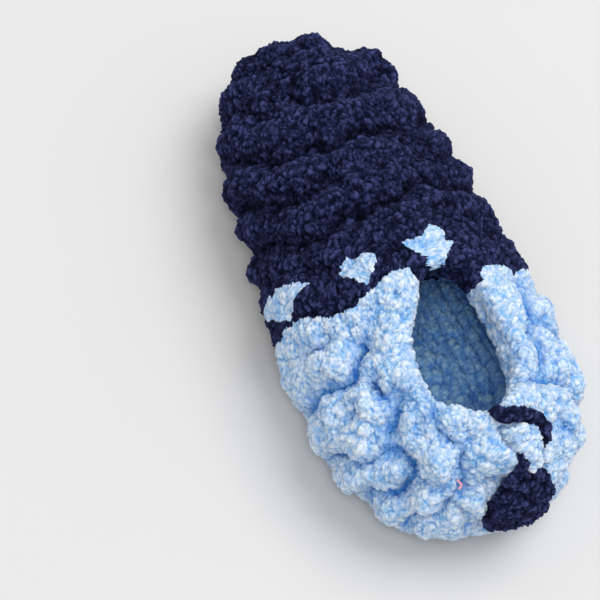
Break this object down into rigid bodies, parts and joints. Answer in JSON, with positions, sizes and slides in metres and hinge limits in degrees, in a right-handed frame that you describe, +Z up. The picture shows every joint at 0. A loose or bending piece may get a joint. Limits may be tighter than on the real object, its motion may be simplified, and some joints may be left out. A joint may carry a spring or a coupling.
{
  "type": "knitted slipper",
  "caption": "Chunky hand-knitted house slipper in thick chenille yarn, navy toe and pale blue heel, a low rolled collar opening and a thin grey grip sole.",
  "frame": {"origin": "middle of the slipper's length and width, on the ground under the outsole", "axes": "+Y from heel to toe, +X to the right, +Z up from the ground"},
  "size_m": [0.1228, 0.2706, 0.0785],
  "materials": {
    "pale_blue_yarn": "fluffy chenille knit, matt, pale blue at the heel and navy at the toe",
    "navy_yarn": "fluffy chenille yarn, matt, navy",
    "grey_grip": "matt dark grey grip sole"
  },
  "bodies": {
    "root": {"upper": "pale_blue_yarn", "outsole": "grey_grip", "heel_patch": "navy_yarn", "heel_loop": "navy_yarn"}
  },
  "joints": []
}
